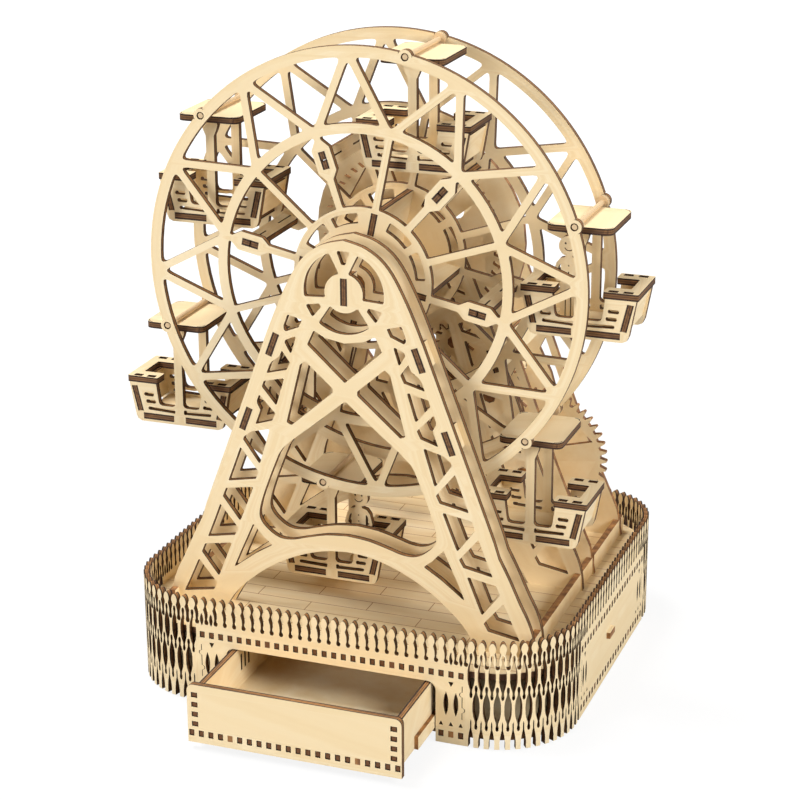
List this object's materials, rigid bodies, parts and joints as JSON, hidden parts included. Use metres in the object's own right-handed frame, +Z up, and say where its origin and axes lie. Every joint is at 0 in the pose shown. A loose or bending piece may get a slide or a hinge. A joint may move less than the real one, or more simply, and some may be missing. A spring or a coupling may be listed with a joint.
{
  "type": "crank ferris wheel toy",
  "caption": "Laser-cut plywood ferris wheel with hanging cabins on a fenced box with a drawer; a crank at the back turns the wheel through a gear train.",
  "frame": {"origin": "middle of the overall bounding box's footprint, on the table the box stands on", "axes": "+X to the right along the front of the box, +Y from the drawer to the crank, +Z up"},
  "size_m": [0.2418, 0.2648, 0.295],
  "materials": {
    "plywood": "bare birch plywood with burnt edges",
    "dowel": "bare round stick"
  },
  "bodies": {
    "base": {"wall_front": "plywood", "wall_back": "plywood", "wall_left": "plywood", "wall_right": "plywood", "corner_strips": "plywood", "deck": "plywood", "bottom_plate": "plywood", "cross_rib": "plywood", "sill_left": "plywood", "sill_right": "plywood", "tower_front_outer": "plywood", "tower_front_inner": "plywood", "tower_clips": "plywood", "bearing_block": "plywood", "tower_back_inner": "plywood", "gear_plate_inner": "plywood", "gear_plate_outer": "plywood", "gearbox_spacers": "plywood"},
    "wheel": {"rim_front": "plywood", "rim_back": "plywood", "crossbars": "plywood", "hub_spider": "plywood", "wheel_axle": "dowel", "wheel_gear": "plywood"},
    "cabin_1": {"cabin_1_sides": "plywood", "cabin_1_tub": "plywood", "cabin_1_top": "plywood"},
    "cabin_2": {"cabin_2_sides": "plywood", "cabin_2_tub": "plywood", "cabin_2_top": "plywood", "passenger_high": "plywood"},
    "cabin_3": {"cabin_3_sides": "plywood", "cabin_3_tub": "plywood", "cabin_3_top": "plywood"},
    "cabin_4": {"cabin_4_sides": "plywood", "cabin_4_tub": "plywood", "cabin_4_top": "plywood", "passenger_low": "plywood"},
    "cabin_5": {"cabin_5_sides": "plywood", "cabin_5_tub": "plywood", "cabin_5_top": "plywood"},
    "cabin_6": {"cabin_6_sides": "plywood", "cabin_6_tub": "plywood", "cabin_6_top": "plywood"},
    "first_layshaft": {"first_pinion": "plywood", "first_gear": "plywood", "first_shaft": "dowel"},
    "second_layshaft": {"second_pinion": "plywood", "second_gear": "plywood", "second_shaft": "dowel"},
    "crank": {"crank_gear": "plywood", "crank_shaft": "dowel", "crank_arm": "plywood", "crank_knob": "dowel"},
    "drawer": {"drawer_front": "plywood", "drawer_side_left": "plywood", "drawer_side_right": "plywood", "drawer_back": "plywood", "drawer_floor": "plywood", "drawer_runners": "plywood"}
  },
  "joints": [
    {"name": "wheel_spin", "type": "hinge", "parent": "base", "child": "wheel", "pos_m": [0, -0.02165, 0.1935], "axis": [0, 1, 0], "continuous": true},
    {"name": "cabin_1_swing", "type": "hinge", "parent": "wheel", "child": "cabin_1", "pos_m": [0.02011, -0.02165, 0.29146], "axis": [0, 1, 0], "continuous": true},
    {"name": "cabin_2_swing", "type": "hinge", "parent": "wheel", "child": "cabin_2", "pos_m": [0.09489, -0.02165, 0.22506], "axis": [0, 1, 0], "continuous": true},
    {"name": "cabin_3_swing", "type": "hinge", "parent": "wheel", "child": "cabin_3", "pos_m": [0.07478, -0.02165, 0.12711], "axis": [0, 1, 0], "continuous": true},
    {"name": "cabin_4_swing", "type": "hinge", "parent": "wheel", "child": "cabin_4", "pos_m": [-0.02011, -0.02165, 0.09554], "axis": [0, 1, 0], "continuous": true},
    {"name": "cabin_5_swing", "type": "hinge", "parent": "wheel", "child": "cabin_5", "pos_m": [-0.09489, -0.02165, 0.16194], "axis": [0, 1, 0], "continuous": true},
    {"name": "cabin_6_swing", "type": "hinge", "parent": "wheel", "child": "cabin_6", "pos_m": [-0.07478, -0.02165, 0.25989], "axis": [0, 1, 0], "continuous": true},
    {"name": "first_layshaft_spin", "type": "hinge", "parent": "base", "child": "first_layshaft", "pos_m": [0.02111, 0.04795, 0.14773], "axis": [0, 1, 0], "continuous": true},
    {"name": "second_layshaft_spin", "type": "hinge", "parent": "base", "child": "second_layshaft", "pos_m": [0.03459, 0.05445, 0.11849], "axis": [0, 1, 0], "continuous": true},
    {"name": "crank_spin", "type": "hinge", "parent": "base", "child": "crank", "pos_m": [0.0516, 0.07945, 0.08163], "axis": [0, 1, 0], "continuous": true},
    {"name": "drawer_slide", "type": "slide", "parent": "base", "child": "drawer", "axis": [0, -1, 0], "range_m": [-0.0385, 0.035]}
  ],
  "couplings": [
    {"joint": "cabin_1_swing", "follows": "wheel_spin", "ratio": -1},
    {"joint": "cabin_2_swing", "follows": "wheel_spin", "ratio": -1},
    {"joint": "cabin_3_swing", "follows": "wheel_spin", "ratio": -1},
    {"joint": "cabin_4_swing", "follows": "wheel_spin", "ratio": -1},
    {"joint": "cabin_5_swing", "follows": "wheel_spin", "ratio": -1},
    {"joint": "cabin_6_swing", "follows": "wheel_spin", "ratio": -1},
    {"joint": "first_layshaft_spin", "follows": "wheel_spin", "ratio": -5},
    {"joint": "second_layshaft_spin", "follows": "wheel_spin", "ratio": 5.4545},
    {"joint": "crank_spin", "follows": "wheel_spin", "ratio": -1.4229}
  ]
}
